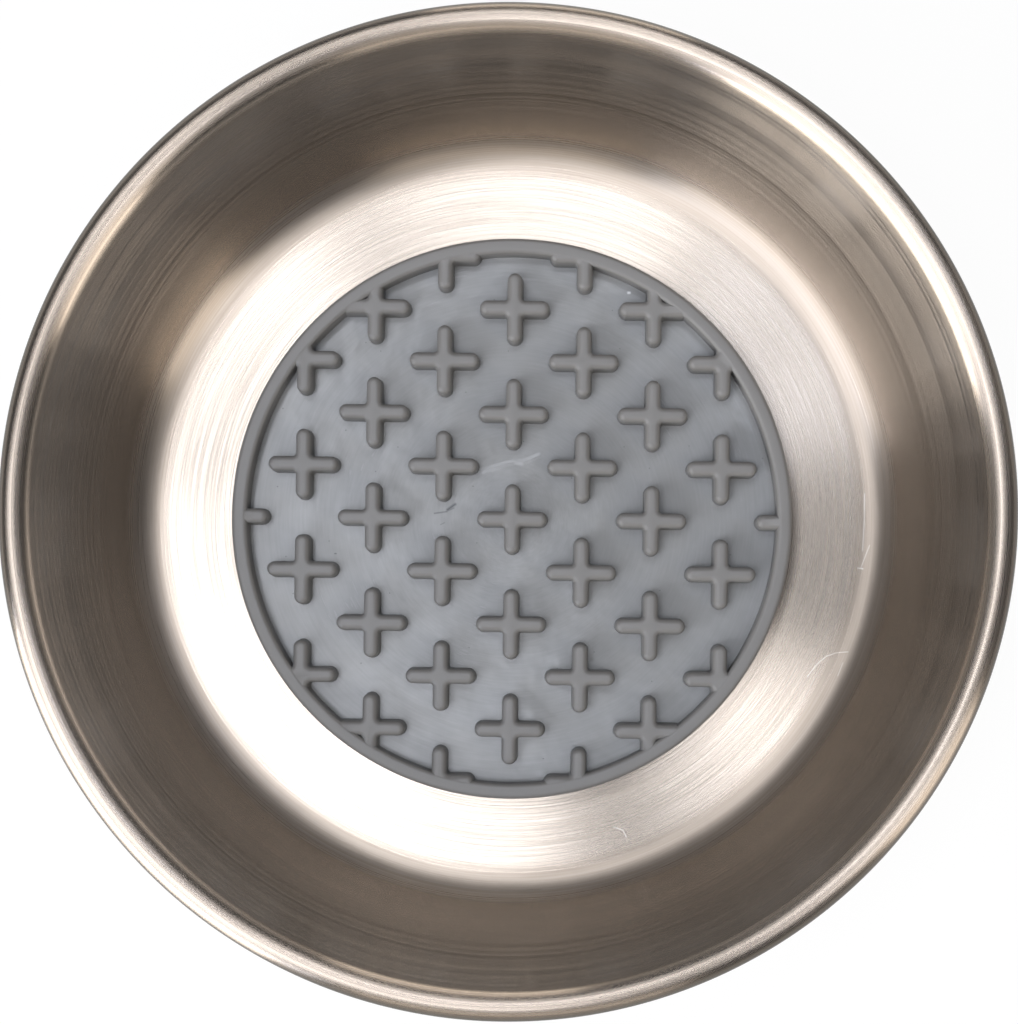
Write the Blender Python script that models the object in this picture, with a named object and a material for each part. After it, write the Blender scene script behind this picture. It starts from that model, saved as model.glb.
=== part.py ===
"""Slow feeder cat bowl: a spun stainless steel dish with a rolled rim, and a silicone mat that lifts out.

Metres, +Z up. The origin is on the bowl's axis, on the surface that the bowl stands on.
"""

import math

import bmesh
import bpy
from mathutils import Vector

MM = 0.001

# Bowl, one disc of sheet spun to shape, with its edge rolled over
RIM_DIAMETER = 152.0 * MM
BOWL_HEIGHT = 28.0 * MM
FLOOR_DIAMETER = 113.6 * MM  # the flat on the food side
SHEET = 0.8 * MM
KNUCKLE_RADIUS = 5.0 * MM  # food side, from the floor up into the wall
FLARE_RADIUS = 3.0 * MM  # food side, from the wall over to the rim's crest
CURL_RADIUS = 2.0 * MM  # outside of the rolled edge
CURL_WRAP = math.radians(235)  # from the crest round to the tucked edge

# Mat, one silicone moulding
MAT_DIAMETER = 89.4 * MM
MAT_BASE = 1.4 * MM
RING_WIDTH = 2.4 * MM
RING_HEIGHT = 4.1 * MM  # above the base
RIDGE_HEIGHT = 4.0 * MM  # above the base
RIDGE_SPAN = 11.4 * MM  # tip to tip of a plus
ARM_WIDTH = 2.65 * MM
COLUMN_PITCH = 11.15 * MM  # between neighbouring columns, every other place filled
ROW_PITCH = 8.42 * MM
TOP_ROUND = 1.0 * MM  # upper edges of the ring and ridges
ROUND_LIMIT = 0.45  # most of a wall's width that one rounded edge takes
SEAT_GAP = 0.3 * MM  # mat to floor

# Facets
BOWL_SEGMENTS = 72
MAT_SEGMENTS = 96
ARC_STEP = math.radians(22.5)
TIP_STEPS = 4
ROUND_STEPS = 2
SHARP_ANGLE = math.radians(40)
MERGE_DISTANCE = 0.001 * MM


def clear_scene():
    for obj in list(bpy.data.objects):
        bpy.data.objects.remove(obj)


def make_material(name, colour, metallic, roughness):
    material = bpy.data.materials.new(name)
    material.use_nodes = True
    shader = material.node_tree.nodes["Principled BSDF"]
    shader.inputs["Base Color"].default_value = (*colour, 1.0)
    shader.inputs["Metallic"].default_value = metallic
    shader.inputs["Roughness"].default_value = roughness
    return material


def add_object(name, mesh, parent, material=None):
    obj = bpy.data.objects.new(name, mesh)
    bpy.context.scene.collection.objects.link(obj)
    obj.parent = parent
    if material:
        mesh.materials.append(material)
    return obj


def add_helper(name, mesh, parent):
    """An object that only cuts or joins, and isn't a part."""
    helper = add_object(name, mesh, parent)
    helper.hide_render = True
    helper.display_type = "WIRE"
    return helper


def add_boolean(obj, operation, other):
    modifier = obj.modifiers.new(operation.lower() + "_" + other.name, "BOOLEAN")
    modifier.operation = operation
    modifier.object = other


def left_of(heading):
    return Vector((-math.sin(heading), math.cos(heading)))


def turn(path, radius, sweep):
    """Carries a path of (point, heading) round an arc, to the left where sweep is positive."""
    point, heading = path[-1]
    side = math.copysign(radius, sweep)
    centre = point + side * left_of(heading)
    steps = math.ceil(abs(sweep) / ARC_STEP)
    for step in range(1, steps + 1):
        along = heading + sweep * step / steps
        path.append((centre - side * left_of(along), along))


def run(path, length):
    """Carries a path straight on."""
    point, heading = path[-1]
    ahead = Vector((math.cos(heading), math.sin(heading)))
    path.append((point + length * ahead, heading))


def revolve(name, outline, segments):
    """Mesh of a half section (radius, height) turned about Z, from the axis on top to the axis below."""
    shape = bmesh.new()
    points = [shape.verts.new((radius, 0.0, height)) for radius, height in outline]
    edges = [shape.edges.new(pair) for pair in zip(points, points[1:])]
    bmesh.ops.spin(
        shape,
        geom=points + edges,
        cent=(0.0, 0.0, 0.0),
        axis=(0.0, 0.0, 1.0),
        angle=math.tau,
        steps=segments,
        use_merge=True,
    )
    bmesh.ops.remove_doubles(shape, verts=shape.verts, dist=MERGE_DISTANCE)
    bmesh.ops.recalc_face_normals(shape, faces=shape.faces)
    return finish_mesh(name, shape)


def finish_mesh(name, shape):
    mesh = bpy.data.meshes.new(name)
    shape.to_mesh(mesh)
    shape.free()
    mesh.shade_smooth()
    mesh.set_sharp_from_angle(angle=SHARP_ANGLE)
    return mesh


def bowl_section():
    """The food side of the sheet from the axis out to the rolled edge, then its back, one sheet away."""
    knuckle = Vector((FLOOR_DIAMETER / 2, SHEET + KNUCKLE_RADIUS))
    flare = Vector((RIM_DIAMETER / 2 - CURL_RADIUS, BOWL_HEIGHT - FLARE_RADIUS))
    between = flare - knuckle
    radii = KNUCKLE_RADIUS + FLARE_RADIUS
    # The wall is the straight line that crosses between the two arcs and touches both
    slope = math.atan2(between.y, between.x) + math.asin(radii / between.length)
    wall = math.sqrt(between.length_squared - radii**2)

    path = [(Vector((0.0, SHEET)), 0.0)]
    run(path, FLOOR_DIAMETER / 2)
    turn(path, KNUCKLE_RADIUS, slope)
    run(path, wall)
    turn(path, FLARE_RADIUS, -slope)
    turn(path, CURL_RADIUS, -CURL_WRAP)

    food_side = [point for point, heading in path]
    back = [point - SHEET * left_of(heading) for point, heading in reversed(path)]
    return food_side + back


def ring_section():
    """Half section of the mat's base and the raised ring round its edge."""
    outer = MAT_DIAMETER / 2
    inner = outer - RING_WIDTH
    crest = MAT_BASE + RING_HEIGHT
    bend = min(TOP_ROUND, ROUND_LIMIT * RING_WIDTH)
    quarter = math.pi / 2

    path = [(Vector((0.0, MAT_BASE)), 0.0), (Vector((inner, MAT_BASE)), quarter)]
    run(path, RING_HEIGHT - bend)
    turn(path, bend, -quarter)
    run(path, RING_WIDTH - 2 * bend)
    turn(path, bend, -quarter)
    run(path, crest - bend)
    outline = [point for point, heading in path]
    return outline + [Vector((0.0, 0.0))]


def plus_outline():
    """Outline of a plus with round arm tips, anticlockwise, centred on the origin."""
    half_width = ARM_WIDTH / 2
    tip_centre = RIDGE_SPAN / 2 - half_width
    points = []
    for arm in range(4):
        facing = arm * math.pi / 2
        along = Vector((math.cos(facing), math.sin(facing)))
        for step in range(TIP_STEPS + 1):
            angle = facing + math.pi * (step / TIP_STEPS - 0.5)
            points.append(tip_centre * along + half_width * Vector((math.cos(angle), math.sin(angle))))
        corner = facing + math.pi / 4
        points.append(math.sqrt(2) * half_width * Vector((math.cos(corner), math.sin(corner))))
    return points


def ridge_places():
    """Centres of the ridges: every other place of a grid, one at the middle, out to the mat's edge."""
    reach = MAT_DIAMETER / 2
    columns = math.ceil(reach / COLUMN_PITCH)
    rows = math.ceil(reach / ROW_PITCH)
    for row in range(-rows, rows + 1):
        for column in range(-columns, columns + 1):
            place = Vector((column * COLUMN_PITCH, row * ROW_PITCH, 0.0))
            if (row + column) % 2 == 0 and place.length < reach:
                yield place


def ridge_mesh():
    """All the plus ridges, each a separate block that starts inside the mat's base."""
    shape = bmesh.new()
    foot = MAT_BASE / 2
    face = shape.faces.new([shape.verts.new((x, y, foot)) for x, y in plus_outline()])
    lid = bmesh.ops.extrude_face_region(shape, geom=[face])["geom"]
    lid_points = [item for item in lid if isinstance(item, bmesh.types.BMVert)]
    lid_edges = [item for item in lid if isinstance(item, bmesh.types.BMEdge)]
    bmesh.ops.translate(shape, verts=lid_points, vec=(0.0, 0.0, MAT_BASE + RIDGE_HEIGHT - foot))
    bmesh.ops.recalc_face_normals(shape, faces=shape.faces)
    bmesh.ops.bevel(
        shape,
        geom=lid_edges,
        offset=min(TOP_ROUND, ROUND_LIMIT * ARM_WIDTH),
        segments=ROUND_STEPS,
        profile=0.5,
        affect="EDGES",
    )
    first = list(shape.verts) + list(shape.edges) + list(shape.faces)
    for place in ridge_places():
        copy = bmesh.ops.duplicate(shape, geom=first)["geom"]
        moved = [item for item in copy if isinstance(item, bmesh.types.BMVert)]
        bmesh.ops.translate(shape, verts=moved, vec=place)
    bmesh.ops.delete(shape, geom=[item for item in first if isinstance(item, bmesh.types.BMVert)])
    return finish_mesh("plus_ridges", shape)


def ring_limit():
    """A drum that ends the ridges in the middle of the ring."""
    radius = (MAT_DIAMETER - RING_WIDTH) / 2
    top = MAT_BASE + RING_HEIGHT
    outline = [(0.0, top), (radius, top), (radius, 0.0), (0.0, 0.0)]
    return revolve("ring_limit", outline, MAT_SEGMENTS)


def build():
    clear_scene()
    root = bpy.data.objects.new("slow_feeder_bowl", None)
    bpy.context.scene.collection.objects.link(root)

    steel = make_material("brushed_stainless_steel", (0.61, 0.58, 0.55), 1.0, 0.3)
    bowl = revolve("bowl_shell", bowl_section(), BOWL_SEGMENTS)
    add_object("bowl_shell", bowl, root, steel)

    silicone = make_material("grey_silicone", (0.27, 0.27, 0.25), 0.0, 0.5)
    mat = add_object("feeder_mat", revolve("feeder_mat", ring_section(), MAT_SEGMENTS), root, silicone)
    mat.location.z = SHEET + SEAT_GAP
    ridges = add_helper("plus_ridges", ridge_mesh(), mat)
    limit = add_helper("ring_limit", ring_limit(), mat)
    add_boolean(ridges, "INTERSECT", limit)
    add_boolean(mat, "UNION", ridges)


build()
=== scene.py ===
"""Looks of a slow feeder cat bowl: a brushed stainless steel dish with a silicone mat lying in it.

Metres, +Z up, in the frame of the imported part. The photograph looks straight down, with its top towards +Y.
"""

import logging
import math
from dataclasses import dataclass
from enum import Enum

import bpy
import numpy as np
from mathutils import Matrix, Vector


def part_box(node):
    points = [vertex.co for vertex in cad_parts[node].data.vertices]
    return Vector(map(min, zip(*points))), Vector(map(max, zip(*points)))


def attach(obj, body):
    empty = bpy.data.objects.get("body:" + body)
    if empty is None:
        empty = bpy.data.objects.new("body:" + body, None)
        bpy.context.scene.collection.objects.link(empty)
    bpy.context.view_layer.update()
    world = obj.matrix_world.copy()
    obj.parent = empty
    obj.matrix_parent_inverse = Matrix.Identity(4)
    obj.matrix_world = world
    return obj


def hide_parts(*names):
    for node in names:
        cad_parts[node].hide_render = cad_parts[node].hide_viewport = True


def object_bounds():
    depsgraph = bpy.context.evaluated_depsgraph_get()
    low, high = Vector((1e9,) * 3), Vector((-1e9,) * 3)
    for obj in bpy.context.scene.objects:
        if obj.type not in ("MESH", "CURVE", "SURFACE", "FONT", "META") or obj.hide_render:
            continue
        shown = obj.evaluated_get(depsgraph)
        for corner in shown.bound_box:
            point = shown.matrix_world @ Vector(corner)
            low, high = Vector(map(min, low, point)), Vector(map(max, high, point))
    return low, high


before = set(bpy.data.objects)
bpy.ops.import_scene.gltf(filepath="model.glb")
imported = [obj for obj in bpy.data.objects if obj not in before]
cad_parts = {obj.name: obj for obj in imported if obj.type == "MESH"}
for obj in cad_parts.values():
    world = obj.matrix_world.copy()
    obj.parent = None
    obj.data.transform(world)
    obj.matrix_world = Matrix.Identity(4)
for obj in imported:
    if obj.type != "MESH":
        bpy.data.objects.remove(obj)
CAD_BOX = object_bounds()

MM = 0.001
SHARP_ANGLE = math.radians(40)  # edges that turn more than this aren't shaded smooth
WHITE = (1.0, 1.0, 1.0, 1.0)
CEILING = 0.62  # height of the lamps overhead
BOWL_MIDDLE = Vector((0, 0, 0.02))
LINE_DETAIL = 2.0  # finer octaves in the noise that lines are drawn from
NOISE_MIDDLE = 0.5

LOG = logging.getLogger("slow_feeder_bowl")
Array = np.ndarray
Colour = tuple[float, float, float, float]
Point = tuple[float, float]
Span = tuple[float, float]


class Node(Enum):
    """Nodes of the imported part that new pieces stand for."""

    BOWL = "bowl_shell"
    MAT = "feeder_mat"


class Body(Enum):
    """Bodies that the pieces ride on."""

    BOWL = "bowl"
    MAT = "mat"


class Slot(Enum):
    """Material slots of the record."""

    STEEL = "stainless_steel"
    SILICONE = "grey_silicone"


class Aim(Enum):
    """Where a lamp points."""

    FLOOR = "straight down"
    BOWL = "at the middle of the bowl"


class Tint(Enum):
    """Colours of the lamps, from bluish daylight to warm room light."""

    BLUISH = "#E6EEFF"
    COOL = "#F2F6FF"
    DAYLIGHT = "#F6F9FF"
    SOFT = "#FFFBF6"
    WARM = "#FFF8F0"


def to_linear(hex_colour: str) -> Colour:
    """Turns an sRGB hex colour into linear RGBA.

    Args:
        hex_colour: Six hex digits after a hash sign.

    Returns:
        Red, green and blue in linear light, and an alpha of 1.
    """
    srgb = np.array([int(hex_colour[i : i + 2], 16) for i in (1, 3, 5)]) / 255
    linear = np.where(srgb <= 0.04045, srgb / 12.92, ((srgb + 0.055) / 1.055) ** 2.4)
    return (*linear.tolist(), 1.0)


def add_node(tree: bpy.types.NodeTree, kind: str, inputs: dict | None = None, **settings) -> bpy.types.Node:
    """Adds a node, sets its properties and fills its inputs.

    Args:
        tree: Node tree to add to.
        kind: Blender's type name without "ShaderNode".
        inputs: Socket name or number to a value, to a socket to link from, or to a node whose first
            output counts.
        settings: Properties of the node.

    Returns:
        The new node.
    """
    node = tree.nodes.new("ShaderNode" + kind)
    for name, value in settings.items():
        setattr(node, name, value)
    for key, value in (inputs or {}).items():
        if isinstance(value, bpy.types.Node):
            value = next(socket for socket in value.outputs if socket.enabled)
        if isinstance(value, bpy.types.NodeSocket):
            tree.links.new(value, node.inputs[key])
        else:
            node.inputs[key].default_value = value
    return node


def span(start: float, offsets: Span) -> dict[str, float]:
    """Limits of a ramp between two offsets from a place.

    Args:
        start: The place.
        offsets: Where the ramp begins and ends, from the place.

    Returns:
        The two inputs of a Map Range node that set what it reads.
    """
    return {"From Min": start + offsets[0], "From Max": start + offsets[1]}


def lines_round_axis(
    tree: bpy.types.NodeTree,
    radial: bpy.types.Node,
    across: bpy.types.Node | bpy.types.NodeSocket,
    width: float,
    turn: float,
) -> bpy.types.Node:
    """Draws noise out into lines that run round the axis.

    The noise is read on a cylinder, whose height counts the lines and whose radius sets how soon one ends.

    Args:
        tree: Node tree to add to.
        radial: Node that gives the unit vector away from the axis.
        across: Distance across the lines.
        width: Width of a line.
        turn: Lines begun in a radian round the axis.

    Returns:
        The noise node, which gives 0 to 1.
    """
    count = add_node(tree, "Math", {0: across, 1: 1 / width}, operation="MULTIPLY")
    lift = add_node(tree, "CombineXYZ", {"Z": count})
    around = add_node(tree, "VectorMath", {0: radial, "Scale": turn}, operation="SCALE")
    spot = add_node(tree, "VectorMath", {0: around, 1: lift}, operation="ADD")
    return add_node(tree, "TexNoise", {"Vector": spot, "Scale": 1.0, "Detail": LINE_DETAIL})


def in_sight(tree: bpy.types.NodeTree) -> bpy.types.Node:
    """Adds a value that is one where the camera sees the surface, and nought elsewhere.

    It counts as seen straight, in metal and through glass.

    Args:
        tree: Node tree of the floor or of the surroundings.

    Returns:
        Node whose first output is the value.
    """
    rays = add_node(tree, "LightPath").outputs
    straight, in_metal = rays["Is Camera Ray"], rays["Is Glossy Ray"]
    seen = add_node(tree, "Math", {0: straight, 1: in_metal}, operation="MAXIMUM")
    return add_node(tree, "Math", {0: seen, 1: rays["Is Transmission Ray"]}, operation="MAXIMUM")


def new_material(name: str) -> tuple[bpy.types.Material, bpy.types.NodeTree]:
    """Makes an empty node material.

    Args:
        name: The material's name.

    Returns:
        The material and its node tree, with nothing in it.
    """
    material = bpy.data.materials.new(name)
    material.use_nodes = True
    material.node_tree.nodes.clear()
    return material, material.node_tree


@dataclass(frozen=True)
class Mark:
    """A thin line left on a surface, drawn on the plan through points in millimetres."""

    points: tuple[Point, ...]
    width: float = 0.16 * MM
    strength: float = 1.0


def draw_marks(tree: bpy.types.NodeTree, plan: bpy.types.Node, marks: tuple[Mark, ...]) -> bpy.types.Node:
    """Draws thin lines on the plan: a mark's strength on its middle, falling to 0 at its edges.

    A mark is a run of straight pieces. The distance to a piece from a to b is the distance to the point
    a plus b - a times the share of the way along it, held between 0 and 1.

    Args:
        tree: Node tree to add to.
        plan: Node that gives the place with its height set to 0.
        marks: The lines.

    Returns:
        The node that gives the strongest mark at each place.
    """
    shown = add_node(tree, "Value")  # nought
    for mark in marks:
        points = [Vector((*point, 0)) * MM for point in mark.points]
        for start, end in zip(points, points[1:]):
            run = end - start
            per_run = run / run.length_squared
            away = add_node(tree, "VectorMath", {0: plan, 1: start}, operation="SUBTRACT")
            share = add_node(tree, "VectorMath", {0: away, 1: per_run}, operation="DOT_PRODUCT")
            held = add_node(tree, "Clamp", {"Value": share})
            foot = add_node(tree, "VectorMath", {0: run, "Scale": held}, operation="SCALE")
            gap = add_node(tree, "VectorMath", {0: away, 1: foot}, operation="DISTANCE")
            ends = {"To Min": mark.strength, "To Max": 0.0}
            ink = add_node(tree, "MapRange", {"Value": gap, **span(0.0, (0.0, mark.width / 2)), **ends})
            shown = add_node(tree, "Math", {0: shown, 1: ink}, operation="MAXIMUM")
    return shown


def left_of(heading: Array) -> Array:
    """Unit vectors to the left of the headings, as (n, 2)."""
    return np.stack([-np.sin(heading), np.cos(heading)], axis=-1)


def arc(centre: Array, radius: float, heading: Array) -> Array:
    """Points where a path round a circle has the given headings.

    A point is the centre less the radius times the unit vector to the left of the heading.

    Args:
        centre: Centre of the circle.
        radius: Radius, negative where the path turns to the right.
        heading: Headings in radians.

    Returns:
        Points as (n, 2).
    """
    return centre - radius * left_of(heading)


def lathe(name: str, section: Array, columns: int) -> bpy.types.Mesh:
    """Turns a half section about Z: point (i, j) is radius i times (cos, sin) of angle j, at height i.

    The section starts on the axis at the top and ends on it at the bottom, so both poles are single points.
    The length run along the section is kept on the points as the attribute "along".

    Args:
        name: Mesh name.
        section: Radius and height, (n, 2).
        columns: Points round the axis.

    Returns:
        A closed mesh with its faces outwards.
    """
    angle = np.linspace(0, 2 * np.pi, columns, endpoint=False)
    ring = np.stack([np.cos(angle), np.sin(angle)], axis=-1)
    rows = section[1:-1]
    flat = rows[:, None, :1] * ring
    height = np.broadcast_to(rows[:, None, 1:], flat.shape[:2] + (1,))
    grid = np.concatenate([flat, height], axis=-1).reshape(-1, 3)
    poles = np.array([[0, 0, section[0, 1]], [0, 0, section[-1, 1]]])
    points = np.vstack([poles[:1], grid, poles[1:]])

    index = 1 + np.arange(len(grid)).reshape(len(rows), columns)
    following = np.roll(index, -1, axis=1)
    quads = np.stack([index[:-1], index[1:], following[1:], following[:-1]], axis=-1).reshape(-1, 4)
    first = np.stack([np.zeros_like(index[0]), index[0], following[0]], axis=-1)
    last = np.stack([index[-1], np.full_like(index[0], len(points) - 1), following[-1]], axis=-1)

    mesh = bpy.data.meshes.new(name)
    mesh.from_pydata(points.tolist(), [], first.tolist() + quads.tolist() + last.tolist())
    steps = np.hypot(*np.diff(section, axis=0).T)
    along = np.concatenate([[0], np.cumsum(steps)])
    spread = np.concatenate([along[:1], np.repeat(along[1:-1], columns), along[-1:]])
    mesh.attributes.new("along", "FLOAT", "POINT").data.foreach_set("value", spread.astype(np.float32))
    return mesh


def combine(mesh: bpy.types.Mesh, operation: str, other: bpy.types.Mesh) -> bpy.types.Mesh:
    """Joins two closed meshes by a Boolean.

    Args:
        mesh: The first mesh, which keeps its name.
        operation: UNION or INTERSECT.
        other: The second mesh.

    Returns:
        A new mesh; the two old ones are removed.
    """
    name = mesh.name
    objects = [bpy.data.objects.new(part.name, part) for part in (mesh, other)]
    for obj in objects:
        bpy.context.scene.collection.objects.link(obj)
    modifier = objects[0].modifiers.new(operation, "BOOLEAN")
    modifier.operation = operation
    modifier.solver = "MANIFOLD"
    modifier.object = objects[1]
    shaped = objects[0].evaluated_get(bpy.context.evaluated_depsgraph_get())
    result = bpy.data.meshes.new_from_object(shaped)
    for obj in objects:
        bpy.data.objects.remove(obj)
    for part in (mesh, other):
        bpy.data.meshes.remove(part)
    result.name = name
    return result


def place(
    mesh: bpy.types.Mesh, material: bpy.types.Material, node: Node, body: Body
) -> bpy.types.Object:
    """Puts a finished mesh into the scene for a node of the part.

    Args:
        mesh: The finished mesh, in the part's frame.
        material: Its finish.
        node: The node that it stands for.
        body: The body that it rides on.

    Returns:
        The new object, at the origin.
    """
    mesh.materials.clear()
    mesh.materials.append(material)
    piece = bpy.data.objects.new(mesh.name, mesh)
    bpy.context.scene.collection.objects.link(piece)
    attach(piece, body.value)
    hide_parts(node.value)
    triangles = sum(len(face.vertices) - 2 for face in mesh.polygons)
    LOG.info("%s: %d triangles, rides on %s", piece.name, triangles, body.value)
    return piece


@dataclass(frozen=True)
class SheetZones:
    """Lengths along the sheet's section, from the axis, at which its zones end."""

    floor: float
    wall_foot: float
    wall_top: float
    crest: float
    edge: float


@dataclass(frozen=True)
class Grooves:
    """One layer of brush lines, with its weight on the floor and on the wall."""

    width: float
    turn: float  # lines begun in a radian round the axis
    floor_weight: float
    wall_weight: float


@dataclass(frozen=True)
class BrushedSteel:
    """Stainless steel sheet, brushed on a lathe.

    The brush leaves fine grooves round the axis, so light spreads across them and every highlight fans out
    along the radius. On the floor the lines are short, and on the wall they run on, over broad faint bands.
    The brush can't follow the corner and the rim, so they are rougher, and they are darkened by painted shade
    that dims what they reflect. The rolled edge, which it never met, is darker, partly from its own duller
    finish and partly from painted shade that dims the bright floor it reflects. Handling has left a few thin
    scratches. The finest grooves are drawn about twice as wide as they are, so that they show.
    """

    colour: str = "#C8BDB1"
    dark_colour: str = "#B5A99C"
    # Painted shade: a grey tint that darkens the corner and the rim.
    corner_and_rim_shade: str = "#DFDCD9"
    # Partly the rolled edge's own duller finish, partly painted shade that darkens what it reflects.
    edge_colour: str = "#6A655F"
    scratch_colour: str = "#F2EFEA"
    floor_roughness: float = 0.26
    corner_roughness: float = 0.32
    wall_roughness: float = 0.20
    rim_roughness: float = 0.26
    rough_change: float = 0.05
    scratch_roughness: float = 0.5
    anisotropy: float = 0.95
    across_grooves: float = 0.25  # the spread is turned by this share of a whole turn
    groove_depth: float = 0.002 * MM
    tone_range: Span = (-0.15, 0.15)  # height of the grooves from the dark colour to the plain one
    corner_shade_starts: Span = (-1.5 * MM, 0.8 * MM)  # from the end of the floor: where the painted shade of the corner fades in
    corner_shade_ends: Span = (-2.0 * MM, 0.0)  # from the foot of the wall: where the painted shade of the corner fades out
    corner_roughens: Span = (-1.0 * MM, 1.0 * MM)  # from the end of the floor
    wall_smooths: Span = (-1.5 * MM, 1.5 * MM)  # from the foot of the wall
    rim_rough_and_shaded: Span = (-1.0 * MM, 1.0 * MM)  # from the top of the wall: where the rim turns rougher and takes painted shade
    edge_darkens: Span = (0.6 * MM, 1.9 * MM)  # from the crest: where the edge's duller finish and its painted shade begin
    layers: tuple[Grooves, ...] = (
        Grooves(0.16 * MM, 3.0, 0.50, 0.0),
        Grooves(0.28 * MM, 1.6, 0.14, 0.0),
        Grooves(0.25 * MM, 0.25, 0.30, 0.85),
        Grooves(0.60 * MM, 0.18, 0.10, 0.45),
        Grooves(2.20 * MM, 0.40, 0.00, 0.35),
    )
    scratches: tuple[Mark, ...] = (
        Mark(((57.0, 5.1), (57.0, 0.7), (56.8, -4.2)), 0.20 * MM, 0.8),
        Mark(((57.9, -3.3), (56.5, -7.1)), 0.22 * MM, 0.6),
        Mark(((56.1, -7.0), (56.9, -7.1)), 0.30 * MM, 1.0),
        Mark(((48.2, -24.6), (49.5, -22.8), (51.1, -21.4), (52.7, -20.8), (54.6, -20.6)), 0.22 * MM, 0.7),
        Mark(((53.8, -22.4), (53.0, -24.5)), 0.20 * MM, 0.4),
        Mark(((17.0, -49.5), (18.5, -50.0), (19.1, -51.1)), 0.22 * MM, 0.8),
    )

    def grooves(
        self,
        tree: bpy.types.NodeTree,
        radial: bpy.types.Node,
        along: bpy.types.NodeSocket,
        on_wall: bpy.types.Node,
    ) -> bpy.types.Node:
        """Adds up the layers of brush lines: each one's noise about nought, times its weight.

        Args:
            tree: Node tree to add to.
            radial: Node that gives the unit vector away from the axis.
            along: Length along the sheet's section.
            on_wall: Node that goes from nought on the floor to one on the wall.

        Returns:
            The node that gives the height of the lines, in groove depths.
        """
        height = add_node(tree, "Value")  # nought
        for layer in self.layers:
            noise = lines_round_axis(tree, radial, along, layer.width, layer.turn)
            ends = {"To Min": layer.floor_weight, "To Max": layer.wall_weight}
            weight = add_node(tree, "MapRange", {"Value": on_wall, **ends})
            centred = add_node(tree, "Math", {0: noise, 1: NOISE_MIDDLE}, operation="SUBTRACT")
            height = add_node(tree, "Math", {0: centred, 1: weight, 2: height}, operation="MULTIPLY_ADD")
        return height

    def material(self, zones: SheetZones) -> bpy.types.Material:
        """Builds the node material.

        Args:
            zones: Where the floor, wall and rim lie along the sheet's section.

        Returns:
            The material, which reads Object coordinates and the attribute "along".
        """
        material, tree = new_material("brushed_stainless_steel")
        place_on = add_node(tree, "TexCoord").outputs["Object"]
        plan = add_node(tree, "VectorMath", {0: place_on, 1: (1, 1, 0)}, operation="MULTIPLY")
        radial = add_node(tree, "VectorMath", {0: plan}, operation="NORMALIZE")
        along = add_node(tree, "Attribute", attribute_name="along").outputs["Fac"]
        limits = {"From Min": zones.floor, "From Max": zones.wall_foot}
        on_wall = add_node(tree, "MapRange", {"Value": along, **limits})

        limits = span(zones.floor, self.corner_shade_starts)
        into_corner = add_node(tree, "MapRange", {"Value": along, **limits})
        limits = {**span(zones.wall_foot, self.corner_shade_ends), "To Min": 1.0, "To Max": 0.0}
        before_wall = add_node(tree, "MapRange", {"Value": along, **limits})
        in_corner = add_node(tree, "Math", {0: into_corner, 1: before_wall}, operation="MULTIPLY")
        on_rim = add_node(tree, "MapRange", {"Value": along, **span(zones.wall_top, self.rim_rough_and_shaded)})
        shaded_corner_and_rim = add_node(tree, "Math", {0: in_corner, 1: on_rim}, operation="MAXIMUM")

        lines = self.grooves(tree, radial, along, on_wall)
        tone = add_node(tree, "MapRange", {"Value": lines, **span(0.0, self.tone_range)})
        ends = {"A": to_linear(self.dark_colour), "B": to_linear(self.colour)}
        lined = add_node(tree, "Mix", {"Factor": tone, **ends}, data_type="RGBA")
        # Painted shade: the corner and the rim are multiplied by a grey tint.
        ends = {"Factor": shaded_corner_and_rim, "A": lined, "B": to_linear(self.corner_and_rim_shade)}
        brushed = add_node(tree, "Mix", ends, data_type="RGBA", blend_type="MULTIPLY")
        # The rolled edge past the crest darkens: partly its duller finish, partly painted shade.
        past_crest = add_node(tree, "MapRange", {"Value": along, **span(zones.crest, self.edge_darkens)})
        food_side = add_node(tree, "Math", {0: along, 1: zones.edge}, operation="LESS_THAN")
        dull_and_shaded_edge = add_node(tree, "Math", {0: past_crest, 1: food_side}, operation="MULTIPLY")
        ends = {"A": brushed, "B": to_linear(self.edge_colour)}
        edged = add_node(tree, "Mix", {"Factor": dull_and_shaded_edge, **ends}, data_type="RGBA")
        drawn = draw_marks(tree, plan, self.scratches)
        scratched = add_node(tree, "Math", {0: drawn, 1: food_side}, operation="MULTIPLY")
        ends = {"A": edged, "B": to_linear(self.scratch_colour)}
        colour = add_node(tree, "Mix", {"Factor": scratched, **ends}, data_type="RGBA")

        limits = span(zones.floor, self.corner_roughens)
        ends = {"To Min": self.floor_roughness, "To Max": self.corner_roughness}
        before = add_node(tree, "MapRange", {"Value": along, **limits, **ends})
        leaving = add_node(tree, "MapRange", {"Value": along, **span(zones.wall_foot, self.wall_smooths)})
        wall = add_node(tree, "Mix", {"Factor": leaving, "A": before, "B": self.wall_roughness})
        plain = add_node(tree, "Mix", {"Factor": on_rim, "A": wall, "B": self.rim_roughness})
        ends = {"To Min": self.rough_change, "To Max": -self.rough_change}
        change = add_node(tree, "MapRange", {"Value": tone, **ends})
        grain = add_node(tree, "Math", {0: plain, 1: change}, operation="ADD")
        ends = {"A": grain, "B": self.scratch_roughness}
        rough = add_node(tree, "Mix", {"Factor": scratched, **ends})
        bump = add_node(tree, "Bump", {"Height": lines, "Distance": self.groove_depth, "Strength": 1.0})
        tangent = add_node(tree, "Tangent", direction_type="RADIAL", axis="Z")
        shader = add_node(
            tree,
            "BsdfPrincipled",
            {
                "Base Color": colour,
                "Metallic": 1.0,
                "Roughness": rough,
                "Anisotropic": self.anisotropy,
                "Anisotropic Rotation": self.across_grooves,
                "Tangent": tangent,
                "Normal": bump,
            },
        )
        add_node(tree, "OutputMaterial", {"Surface": shader})
        return material


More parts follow.
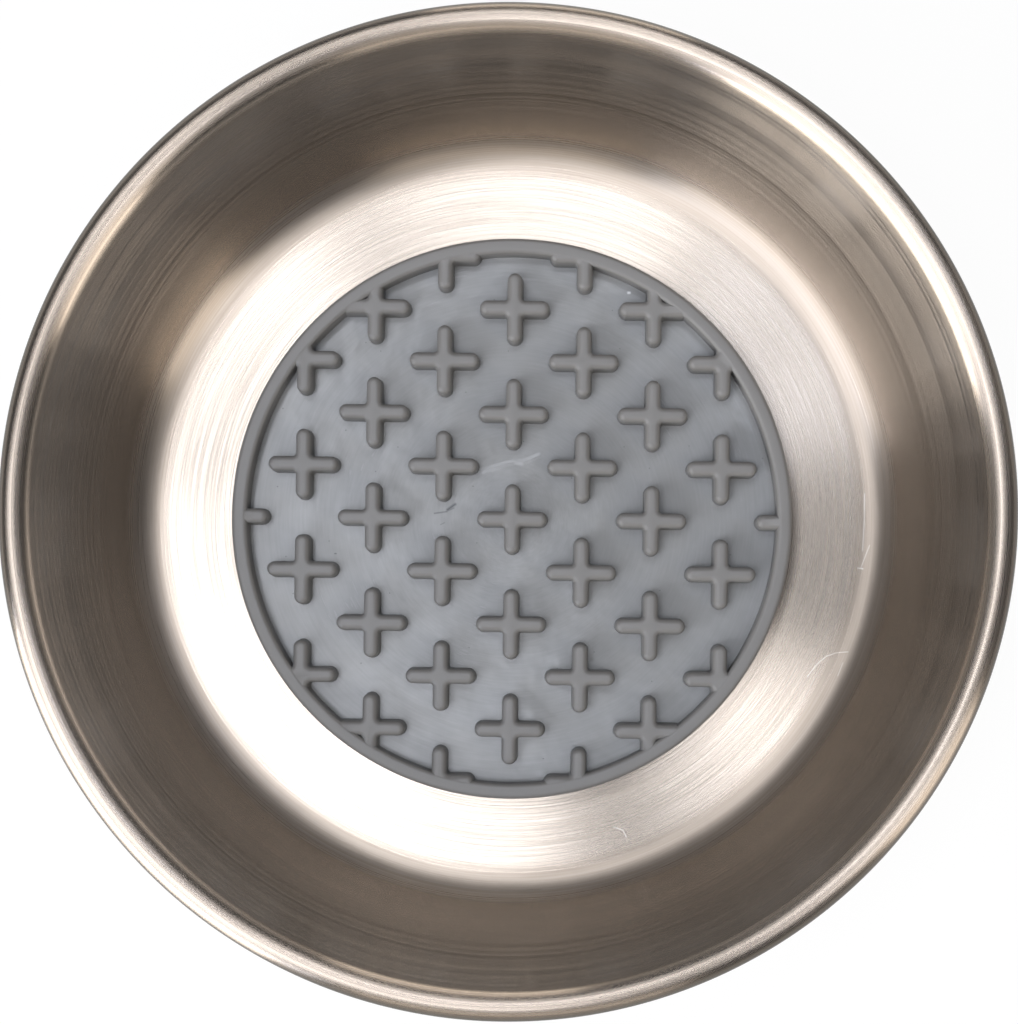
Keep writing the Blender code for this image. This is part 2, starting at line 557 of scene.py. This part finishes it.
@dataclass(frozen=True)
class MouldedSilicone:
    """Grey silicone rubber from a two-part mould.

    The ridges come out matte, where the mould was never polished, and their colour darkens towards their feet
    as painted shade. The mould's floor was polished, so the mat's floor is smoother and takes a cool sheen
    from the light above.
    It is a little wavy, with polishing lines round the middle, cloudy patches and small pits. A fold left by
    the flowing rubber and a few scuffs lie near the middle, and a pale speck lies at the back.
    """

    ridge_colour: str = "#72706D"
    # Painted shade: the colour that the ridges and the ring darken to at their feet.
    foot_shade_colour: str = "#5A5957"
    floor_colour: str = "#8F8F8E"
    cloud_colour: str = "#828281"
    scuff_colour: str = "#404144"
    speck_colour: str = "#DCDCDA"
    ridge_roughness: float = 0.44
    floor_roughness: float = 0.22
    rough_change: float = 0.06
    polish_width: float = 0.35 * MM
    polish_turn: float = 6.0  # lines begun in a radian round the axis
    polish_depth: float = 0.010 * MM
    cloud_size: float = 9.0 * MM
    cloud_detail: float = 3.0
    cloud_depth: float = 0.20 * MM
    pit_spacing: float = 11.0 * MM
    pit_radius: float = 0.13 * MM
    pit_depth: float = 0.02 * MM
    fold_height: float = 0.045 * MM
    ior: float = 1.5
    polish_share: float = 0.5  # weight of the polishing lines beside the clouds
    tone_range: Span = (0.5, 1.0)  # lines and clouds together, from the cloud's colour to the floor's
    ridge_starts: Span = (0.1 * MM, 0.4 * MM)  # from the mat's floor
    foot_darkens: Span = (0.2 * MM, 2.6 * MM)  # from the mat's floor: the span over which the painted shade at the feet fades out
    folds: tuple[Mark, ...] = (
        Mark(((-4.8, 7.9), (-2.4, 8.6), (0.1, 9.4), (1.6, 9.3), (4.1, 10.4)), 1.0 * MM),
    )
    scuffs: tuple[Mark, ...] = (
        Mark(((-10.5, 1.5), (-9.3, 2.4)), 0.70 * MM, 1.0),
        Mark(((-10.8, 1.2), (-9.5, 1.8)), 0.40 * MM, 0.7),
        Mark(((-12.6, 0.9), (-10.6, 1.2)), 0.40 * MM, 0.7),
        Mark(((-11.6, -0.9), (-11.0, -0.6)), 0.30 * MM, 0.5),
        Mark(((-28.6, -5.8), (-28.4, -5.8)), 0.35 * MM, 1.0),
    )
    specks: tuple[Mark, ...] = (Mark(((18.2, 36.9), (18.4, 36.9)), 0.60 * MM, 0.9),)

    def material(self, floor_level: float) -> bpy.types.Material:
        """Builds the node material.

        Args:
            floor_level: Height of the mat's floor.

        Returns:
            The material, which reads Object coordinates.
        """
        material, tree = new_material("moulded_grey_silicone")
        place_on = add_node(tree, "TexCoord").outputs["Object"]
        height = add_node(tree, "SeparateXYZ", {0: place_on}).outputs["Z"]
        raised = add_node(tree, "MapRange", {"Value": height, **span(floor_level, self.ridge_starts)})
        plan = add_node(tree, "VectorMath", {0: place_on, 1: (1, 1, 0)}, operation="MULTIPLY")

        radial = add_node(tree, "VectorMath", {0: plan}, operation="NORMALIZE")
        radius = add_node(tree, "VectorMath", {0: plan}, operation="LENGTH")
        polish = lines_round_axis(tree, radial, radius, self.polish_width, self.polish_turn)
        grain = {"Scale": 1 / self.cloud_size, "Detail": self.cloud_detail}
        cloud = add_node(tree, "TexNoise", {"Vector": place_on, **grain})
        cells = {"Vector": plan, "Scale": 1 / self.pit_spacing}
        away = add_node(tree, "TexVoronoi", cells, voronoi_dimensions="2D")
        limits = span(0.0, (0.0, self.pit_radius / self.pit_spacing))
        pits = add_node(tree, "MapRange", {"Value": away, **limits, "To Min": 1.0, "To Max": 0.0})
        fold = draw_marks(tree, plan, self.folds)
        scuff = draw_marks(tree, plan, self.scuffs)
        speck = draw_marks(tree, plan, self.specks)

        mixed = add_node(tree, "Math", {0: polish, 1: self.polish_share, 2: cloud}, operation="MULTIPLY_ADD")
        tone = add_node(tree, "MapRange", {"Value": mixed, **span(0.0, self.tone_range)})
        ends = {"A": to_linear(self.cloud_colour), "B": to_linear(self.floor_colour)}
        clouded = add_node(tree, "Mix", {"Factor": tone, **ends}, data_type="RGBA")
        worn = add_node(tree, "Math", {0: scuff, 1: pits}, operation="MAXIMUM")
        ends = {"A": clouded, "B": to_linear(self.scuff_colour)}
        dark_worn = add_node(tree, "Mix", {"Factor": worn, **ends}, data_type="RGBA")
        ends = {"A": dark_worn, "B": to_linear(self.speck_colour)}
        floor = add_node(tree, "Mix", {"Factor": speck, **ends}, data_type="RGBA")
        # Painted shade: the ridges and the ring darken towards their feet.
        above_foot_shade = add_node(tree, "MapRange", {"Value": height, **span(floor_level, self.foot_darkens)})
        ends = {"A": to_linear(self.foot_shade_colour), "B": to_linear(self.ridge_colour)}
        ridge = add_node(tree, "Mix", {"Factor": above_foot_shade, **ends}, data_type="RGBA")
        colour = add_node(tree, "Mix", {"Factor": raised, "A": floor, "B": ridge}, data_type="RGBA")

        roughest = self.floor_roughness + self.rough_change
        smoothest = self.floor_roughness - self.rough_change
        smooth = add_node(tree, "MapRange", {"Value": tone, "To Min": roughest, "To Max": smoothest})
        rough = add_node(tree, "Mix", {"Factor": raised, "A": smooth, "B": self.ridge_roughness})

        lines = add_node(tree, "Math", {0: polish, 1: self.polish_depth}, operation="MULTIPLY")
        dents = add_node(tree, "Math", {0: pits, 1: -self.pit_depth, 2: lines}, operation="MULTIPLY_ADD")
        waves = add_node(tree, "Math", {0: cloud, 1: self.cloud_depth, 2: dents}, operation="MULTIPLY_ADD")
        relief = add_node(tree, "Math", {0: fold, 1: self.fold_height, 2: waves}, operation="MULTIPLY_ADD")
        flat = add_node(tree, "Math", {0: 1.0, 1: raised}, operation="SUBTRACT")
        bump = add_node(tree, "Bump", {"Height": relief, "Distance": 1.0, "Strength": flat})
        shader = add_node(
            tree,
            "BsdfPrincipled",
            {"Base Color": colour, "Roughness": rough, "IOR": self.ior, "Normal": bump},
        )
        add_node(tree, "OutputMaterial", {"Surface": shader})
        return material


@dataclass
class BowlShell:
    """The dish: one sheet with a flat floor, a steep wall and a rim that flares over into a rolled edge."""

    rim_radius: float
    height: float
    floor_radius: float = 56.8 * MM
    sheet: float = 0.8 * MM
    knuckle_radius: float = 5.0 * MM
    flare_radius: float = 3.0 * MM
    curl_radius: float = 2.0 * MM
    curl_wrap: float = math.radians(235)
    floor_points: int = 8
    knuckle_points: int = 25
    wall_points: int = 8
    flare_points: int = 22
    curl_points: int = 40
    columns: int = 360

    @property
    def knuckle(self) -> Array:
        """Centre of the bend from the floor to the wall."""
        return np.array([self.floor_radius, self.sheet + self.knuckle_radius])

    @property
    def flare(self) -> Array:
        """Centre of the bend from the wall to the crest."""
        return np.array([self.rim_radius - self.curl_radius, self.height - self.flare_radius])

    @property
    def slope(self) -> float:
        """Slope of the wall: the line that crosses between the two bends and touches both."""
        run, rise = self.flare - self.knuckle
        radii = self.knuckle_radius + self.flare_radius
        return math.atan2(rise, run) + math.asin(radii / math.hypot(run, rise))

    def section(self) -> Array:
        """Half section of the sheet: its food side from the axis to the rolled edge, then its back.

        The back is the food side moved by the sheet's thickness, square to each heading.

        Returns:
            Radius and height, (n, 2), from the axis round to the axis.
        """
        curl = np.array([self.rim_radius - self.curl_radius, self.height - self.curl_radius])
        up = np.linspace(0, self.slope, self.knuckle_points)
        over = np.linspace(self.slope, 0, self.flare_points)
        round_edge = np.linspace(0, -self.curl_wrap, self.curl_points)[1:]
        bend = arc(self.knuckle, self.knuckle_radius, up)
        crest = arc(self.flare, -self.flare_radius, over)
        edge = arc(curl, -self.curl_radius, round_edge)
        share = np.linspace(0, 1, self.wall_points)[1:-1, None]
        wall = bend[-1] + share * (crest[0] - bend[-1])
        reach = np.linspace(0, self.floor_radius, self.floor_points)[:-1]
        floor = np.stack([reach, np.full_like(reach, self.sheet)], axis=-1)

        food_side = np.vstack([floor, bend, wall, crest, edge])
        level = np.zeros(len(floor))
        heading = np.concatenate([level, up, np.full(len(wall), self.slope), over, round_edge])
        back = food_side - self.sheet * left_of(heading)
        return np.vstack([food_side, back[::-1]])

    def zones(self) -> SheetZones:
        """Lengths along the section: each bend is its radius times the angle that it turns."""
        gap = math.hypot(*(self.flare - self.knuckle))
        wall_foot = self.floor_radius + self.knuckle_radius * self.slope
        wall_top = wall_foot + math.sqrt(gap**2 - (self.knuckle_radius + self.flare_radius) ** 2)
        crest = wall_top + self.flare_radius * self.slope
        edge = crest + self.curl_radius * self.curl_wrap
        return SheetZones(self.floor_radius, wall_foot, wall_top, crest, edge)

    def build(self) -> bpy.types.Mesh:
        """Turns the section into the dish's mesh."""
        mesh = lathe("brushed_steel_bowl", self.section(), self.columns)
        mesh.shade_smooth()
        mesh.set_sharp_from_angle(angle=SHARP_ANGLE)
        return mesh

    def dress(self, finish: BrushedSteel) -> bpy.types.Object:
        """Builds the dish and gives it its finish."""
        return place(self.build(), finish.material(self.zones()), Node.BOWL, Body.BOWL)


@dataclass
class FeederMat:
    """The mat: a thin disc with a raised ring round its edge and staggered plus ridges, one moulding."""

    radius: float
    underside: float
    base: float = 1.4 * MM
    ring_width: float = 2.4 * MM
    ring_height: float = 4.1 * MM
    ridge_height: float = 4.0 * MM
    ridge_span: float = 11.4 * MM
    arm_width: float = 2.65 * MM
    column_pitch: float = 11.15 * MM
    row_pitch: float = 8.42 * MM
    ridge_round: float = 0.9 * MM
    ring_round: float = 0.7 * MM
    foot_round: float = 0.3 * MM
    inner_corner: float = 0.35 * MM
    draft: float = 0.15 * MM
    round_points: int = 9
    tip_points: int = 15
    hollow_points: int = 6
    columns: int = 360

    @property
    def floor_level(self) -> float:
        """Height of the mat's floor."""
        return self.underside + self.base

    def base_section(self) -> Array:
        """Half section of the disc and its ring, with quarter-round upper edges.

        Returns:
            Radius and height, (n, 2), from the axis on top to the axis underneath.
        """
        outer = self.radius
        inner = outer - self.ring_width
        top = self.floor_level + self.ring_height
        bend = self.ring_round
        foot_bend = self.foot_round
        rise = np.linspace(np.pi / 2, 0, self.round_points)
        fall = np.linspace(0, -np.pi / 2, self.round_points)
        inner_edge = arc(np.array([inner + bend, top - bend]), -bend, rise)
        outer_edge = arc(np.array([outer - bend, top - bend]), -bend, fall)
        floor = np.array([[0, self.floor_level], [inner, self.floor_level]])
        foot_centre = np.array([outer - foot_bend, self.underside + foot_bend])
        foot = arc(foot_centre, -foot_bend, fall - np.pi / 2)
        end = np.array([[0, self.underside]])
        return np.vstack([floor, inner_edge, outer_edge, foot, end])

    def plus_outline(self, inset: Array) -> Array:
        """Outlines of a plus at several insets: arcs round the arm tips, hollow arcs in the inner corners.

        An inset shrinks the tip arcs and widens the corner arcs about the same centres, so the outlines are
        parallel.

        Args:
            inset: Distances in from the plus's own outline, (l,).

        Returns:
            Points anticlockwise, (l, n, 2).
        """
        half = self.arm_width / 2
        turn = np.arange(4) * np.pi / 2
        tip = np.linspace(-np.pi / 2, np.pi / 2, self.tip_points)
        hollow = np.linspace(1.5 * np.pi, np.pi, self.hollow_points)
        angle = turn[:, None] + np.concatenate([tip, hollow])
        is_tip = np.concatenate([np.ones_like(tip), np.zeros_like(hollow)])
        away = np.where(is_tip, self.ridge_span / 2 - half, math.sqrt(2) * (half + self.inner_corner))
        towards = turn[:, None] + np.where(is_tip, 0, np.pi / 4)
        centre = away[:, None] * np.stack([np.cos(towards), np.sin(towards)], axis=-1)
        spoke = np.stack([np.cos(angle), np.sin(angle)], axis=-1)
        radius = np.where(is_tip, half - inset[:, None], self.inner_corner + inset[:, None])
        outline = centre + radius[:, None, :, None] * spoke
        return outline.reshape(len(inset), -1, 2)

    def ridge_profile(self) -> tuple[Array, Array]:
        """Side of a ridge from inside the base to its top: a drafted wall, then a quarter round.

        Returns:
            Insets from the plus's outline and heights, both (l,).
        """
        top = self.floor_level + self.ridge_height
        turn = np.linspace(0, np.pi / 2, self.round_points)
        inset = self.draft + self.ridge_round * (1 - np.cos(turn))
        height = top - self.ridge_round * (1 - np.sin(turn))
        foot = self.floor_level - self.base / 2
        return np.concatenate([[0, 0], inset]), np.concatenate([[foot, self.floor_level], height])

    def ridge_places(self) -> Array:
        """Centres of the ridges: every other place of a grid, within the mat's edge.

        Returns:
            Points, (p, 2).
        """
        count = math.ceil(self.radius / self.row_pitch)
        column, row = np.meshgrid(np.arange(-count, count + 1), np.arange(-count, count + 1))
        spots = np.stack([column * self.column_pitch, row * self.row_pitch], axis=-1)
        filled = ((column + row) % 2 == 0) & (np.hypot(*np.moveaxis(spots, -1, 0)) < self.radius)
        return spots[filled]

    def ridges(self) -> bpy.types.Mesh:
        """All the plus ridges as closed blocks.

        Each is the side profile carried round the plus's outline, moved to its place.

        Returns:
            One mesh that holds every block.
        """
        inset, height = self.ridge_profile()
        outline = self.plus_outline(inset)
        places = self.ridge_places()
        levels, around = outline.shape[:2]
        shape = (len(places), levels, around)
        flat = places[:, None, None] + outline
        points = np.concatenate([flat, np.broadcast_to(height[:, None, None], shape + (1,))], axis=-1)
        index = np.arange(math.prod(shape)).reshape(shape)
        following = np.roll(index, -1, axis=2)
        sides = np.stack([index[:, :-1], following[:, :-1], following[:, 1:], index[:, 1:]], axis=-1)
        mesh = bpy.data.meshes.new("plus_ridges")
        faces = sides.reshape(-1, 4).tolist() + index[:, -1].tolist() + index[:, 0, ::-1].tolist()
        mesh.from_pydata(points.reshape(-1, 3).tolist(), [], faces)
        return mesh

    def build(self) -> bpy.types.Mesh:
        """Joins the disc and the ridges, which end in the middle of the ring."""
        reach = self.radius - self.ring_width / 2
        low, high = self.underside, self.floor_level + self.ring_height
        limit = lathe("limit", np.array([[0, high], [reach, high], [reach, low], [0, low]]), self.columns)
        ridges = combine(self.ridges(), "INTERSECT", limit)
        mesh = combine(lathe("silicone_mat", self.base_section(), self.columns), "UNION", ridges)
        mesh.shade_smooth()
        mesh.set_sharp_from_angle(angle=SHARP_ANGLE)
        return mesh

    def dress(self, finish: MouldedSilicone) -> bpy.types.Object:
        """Builds the mat and gives it its finish."""
        return place(self.build(), finish.material(self.floor_level), Node.MAT, Body.MAT)


@dataclass(frozen=True)
class SoftBox:
    """A rectangular diffused lamp."""

    name: str
    centre: tuple[float, float, float]
    aim: Aim
    width: float
    depth: float
    radiance: float
    tint: Tint

    def build(self) -> None:
        """Adds the lamp: its power is pi times its area times its radiance."""
        lamp = bpy.data.lights.new(self.name, "AREA")
        lamp.shape = "RECTANGLE"
        lamp.size = self.width
        lamp.size_y = self.depth
        lamp.energy = math.pi * self.width * self.depth * self.radiance
        lamp.color = to_linear(self.tint.value)[:3]
        obj = bpy.data.objects.new(self.name, lamp)
        direction = Vector((0, 0, -1)) if self.aim is Aim.FLOOR else BOWL_MIDDLE - Vector(self.centre)
        obj.location = self.centre
        obj.rotation_euler = direction.to_track_quat("-Z", "Y").to_euler()
        obj.visible_camera = False
        bpy.context.scene.collection.objects.link(obj)


@dataclass(frozen=True)
class Studio:
    """Pale floor, soft lamps, dim surroundings and the camera above the bowl."""

    rim_radius: float
    rim_height: float
    camera_height: float = 285 * MM
    camera_offset: Point = (8.4 * MM, -15.5 * MM)
    camera_roll: float = math.radians(0.75)
    rim_drop: float = 2.0 * MM  # from the crest to where the rolled edge is widest
    rim_pixels: float = 509.5  # the rim's radius in the photograph
    rim_centre: Point = (508.4, 512.0)  # its middle there, in pixels
    frame_pixels: tuple[int, int] = (1018, 1024)
    floor_reach: float = 3.0
    floor_colour: str = "#F4F3F1"
    surround_colour: str = "#8D867E"
    surround_strength: float = 0.03
    wall_top: Span = (math.radians(7), math.radians(12))  # height angles between which the white wall fades
    glow: float = 0.95  # share of the floor that shows as plain white
    lamps: tuple[SoftBox, ...] = (
        SoftBox("overhead_left", (-0.205, -0.045, CEILING), Aim.FLOOR, 0.19, 0.20, 5.2, Tint.COOL),
        SoftBox("overhead_front_left", (-0.102, -0.128, CEILING), Aim.FLOOR, 0.225, 0.17, 5.9, Tint.COOL),
        SoftBox("overhead_front_right", (0.145, -0.11, CEILING), Aim.FLOOR, 0.17, 0.09, 5.8, Tint.COOL),
        SoftBox("overhead_middle", (-0.06, 0.01, CEILING), Aim.FLOOR, 0.10, 0.10, 3.4, Tint.COOL),
        SoftBox("overhead_back_left", (-0.16, 0.15, CEILING), Aim.FLOOR, 0.11, 0.20, 6.9, Tint.COOL),
        SoftBox("overhead_back", (-0.005, 0.24, CEILING), Aim.FLOOR, 0.22, 0.12, 7.5, Tint.COOL),
        SoftBox("overhead_back_right", (0.118, 0.172, CEILING), Aim.FLOOR, 0.06, 0.07, 7.0, Tint.BLUISH),
        SoftBox("overhead_right", (0.142, 0.103, CEILING), Aim.FLOOR, 0.07, 0.07, 6.3, Tint.BLUISH),
        SoftBox("high_left_window", (-0.322, -0.251, 0.649), Aim.BOWL, 0.40, 0.28, 1.8, Tint.DAYLIGHT),
        SoftBox("middle_left_window", (-0.524, -0.395, 0.45), Aim.BOWL, 0.70, 0.24, 5.8, Tint.BLUISH),
        SoftBox("low_left_window", (-0.631, -0.459, 0.17), Aim.BOWL, 0.70, 0.34, 9.6, Tint.SOFT),
        SoftBox("high_right_box", (0.33, -0.20, 0.60), Aim.BOWL, 0.18, 0.18, 2.6, Tint.SOFT),
        SoftBox("right_box", (0.607, -0.336, 0.38), Aim.BOWL, 0.25, 0.40, 3.3, Tint.WARM),
        SoftBox("front_box", (0.0, -0.66, 0.456), Aim.BOWL, 0.50, 0.28, 1.8, Tint.WARM),
        SoftBox("back_box", (0.05, 0.79, 0.14), Aim.BOWL, 0.40, 0.24, 2.6, Tint.WARM),
        SoftBox("low_right_box", (0.72, 0.27, 0.24), Aim.BOWL, 0.30, 0.24, 0.3, Tint.WARM),
    )

    def build_floor(self) -> None:
        """Lays a pale floor that shows almost white to the camera and keeps a soft shadow."""
        material, tree = new_material("pale_floor")
        share = add_node(tree, "Math", {0: in_sight(tree), 1: self.glow}, operation="MULTIPLY")
        diffuse = add_node(tree, "BsdfDiffuse", {"Color": to_linear(self.floor_colour)})
        glow = add_node(tree, "Emission", {"Color": WHITE, "Strength": 1.0})
        mixed = add_node(tree, "MixShader", {0: share, 1: diffuse, 2: glow})
        add_node(tree, "OutputMaterial", {"Surface": mixed})
        corners = np.array([[-1, -1, 0], [1, -1, 0], [1, 1, 0], [-1, 1, 0]]) * self.floor_reach
        mesh = bpy.data.meshes.new("floor")
        mesh.from_pydata(corners.tolist(), [], [(0, 1, 2, 3)])
        mesh.materials.append(material)
        floor = bpy.data.objects.new("floor", mesh)
        bpy.context.scene.collection.objects.link(floor)

    def build_surroundings(self) -> None:
        """Sets the dim room round the lamps, with a white wall low down behind the floor.

        The wall's share falls from one to nought as a direction rises past the wall's top. A direction's
        height is the sine of its angle above the floor.
        """
        world = bpy.data.worlds.new("room")
        bpy.context.scene.world = world
        world.use_nodes = True
        tree = world.node_tree
        tree.nodes.clear()
        dim = to_linear(self.surround_colour)
        room = add_node(tree, "Background", {"Color": dim, "Strength": self.surround_strength})
        wall = add_node(tree, "Background", {"Color": WHITE, "Strength": 1.0})
        direction = add_node(tree, "TexCoord").outputs["Object"]
        height = add_node(tree, "SeparateXYZ", {0: direction}).outputs["Z"]
        start, end = np.sin(self.wall_top)
        limits = {"From Min": start, "From Max": end, "To Min": 1.0, "To Max": 0.0}
        low = add_node(tree, "MapRange", {"Value": height, **limits})
        share = add_node(tree, "Math", {0: in_sight(tree), 1: low}, operation="MULTIPLY")
        mixed = add_node(tree, "MixShader", {0: share, 1: room, 2: wall})
        add_node(tree, "OutputWorld", {"Surface": mixed})

    def build_camera(self) -> None:
        """Hangs the camera over the bowl, looking straight down from beside the axis.

        The lens gives the rim its size in the photograph, measured where the rolled edge is widest, and the
        shift puts the rim's centre where the photograph has it.
        """
        data = bpy.data.cameras.new("camera")
        camera = bpy.data.objects.new("camera", data)
        bpy.context.scene.collection.objects.link(camera)
        camera.location = (*self.camera_offset, self.rim_height + self.camera_height)
        camera.rotation_euler = (0, 0, self.camera_roll)
        side = max(self.frame_pixels)
        scale = self.rim_pixels / self.rim_radius
        data.lens = data.sensor_width * scale * (self.camera_height + self.rim_drop) / side
        turned = Matrix.Rotation(-self.camera_roll, 2) @ Vector(self.camera_offset)
        data.shift_x = -(turned.x * scale + self.rim_centre[0] - self.frame_pixels[0] / 2) / side
        data.shift_y = -(turned.y * scale - self.rim_centre[1] + self.frame_pixels[1] / 2) / side
        bpy.context.scene.camera = camera

    def build(self) -> None:
        """Builds everything that isn't the object."""
        bpy.context.scene.view_settings.view_transform = "Standard"
        self.build_floor()
        self.build_surroundings()
        self.build_camera()
        for lamp in self.lamps:
            lamp.build()


def main() -> None:
    """Builds the bowl, the mat and the studio."""
    logging.basicConfig(level=logging.INFO, format="%(message)s")
    _, bowl_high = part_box(Node.BOWL.value)
    mat_low, mat_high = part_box(Node.MAT.value)
    bowl = BowlShell(rim_radius=CAD_BOX[1][0], height=bowl_high[2])
    bowl.dress(BrushedSteel())
    mat = FeederMat(radius=mat_high[0], underside=mat_low[2])
    mat.dress(MouldedSilicone())
    Studio(rim_radius=bowl.rim_radius, rim_height=bowl.height).build()


if __name__ == "__main__":
    main()
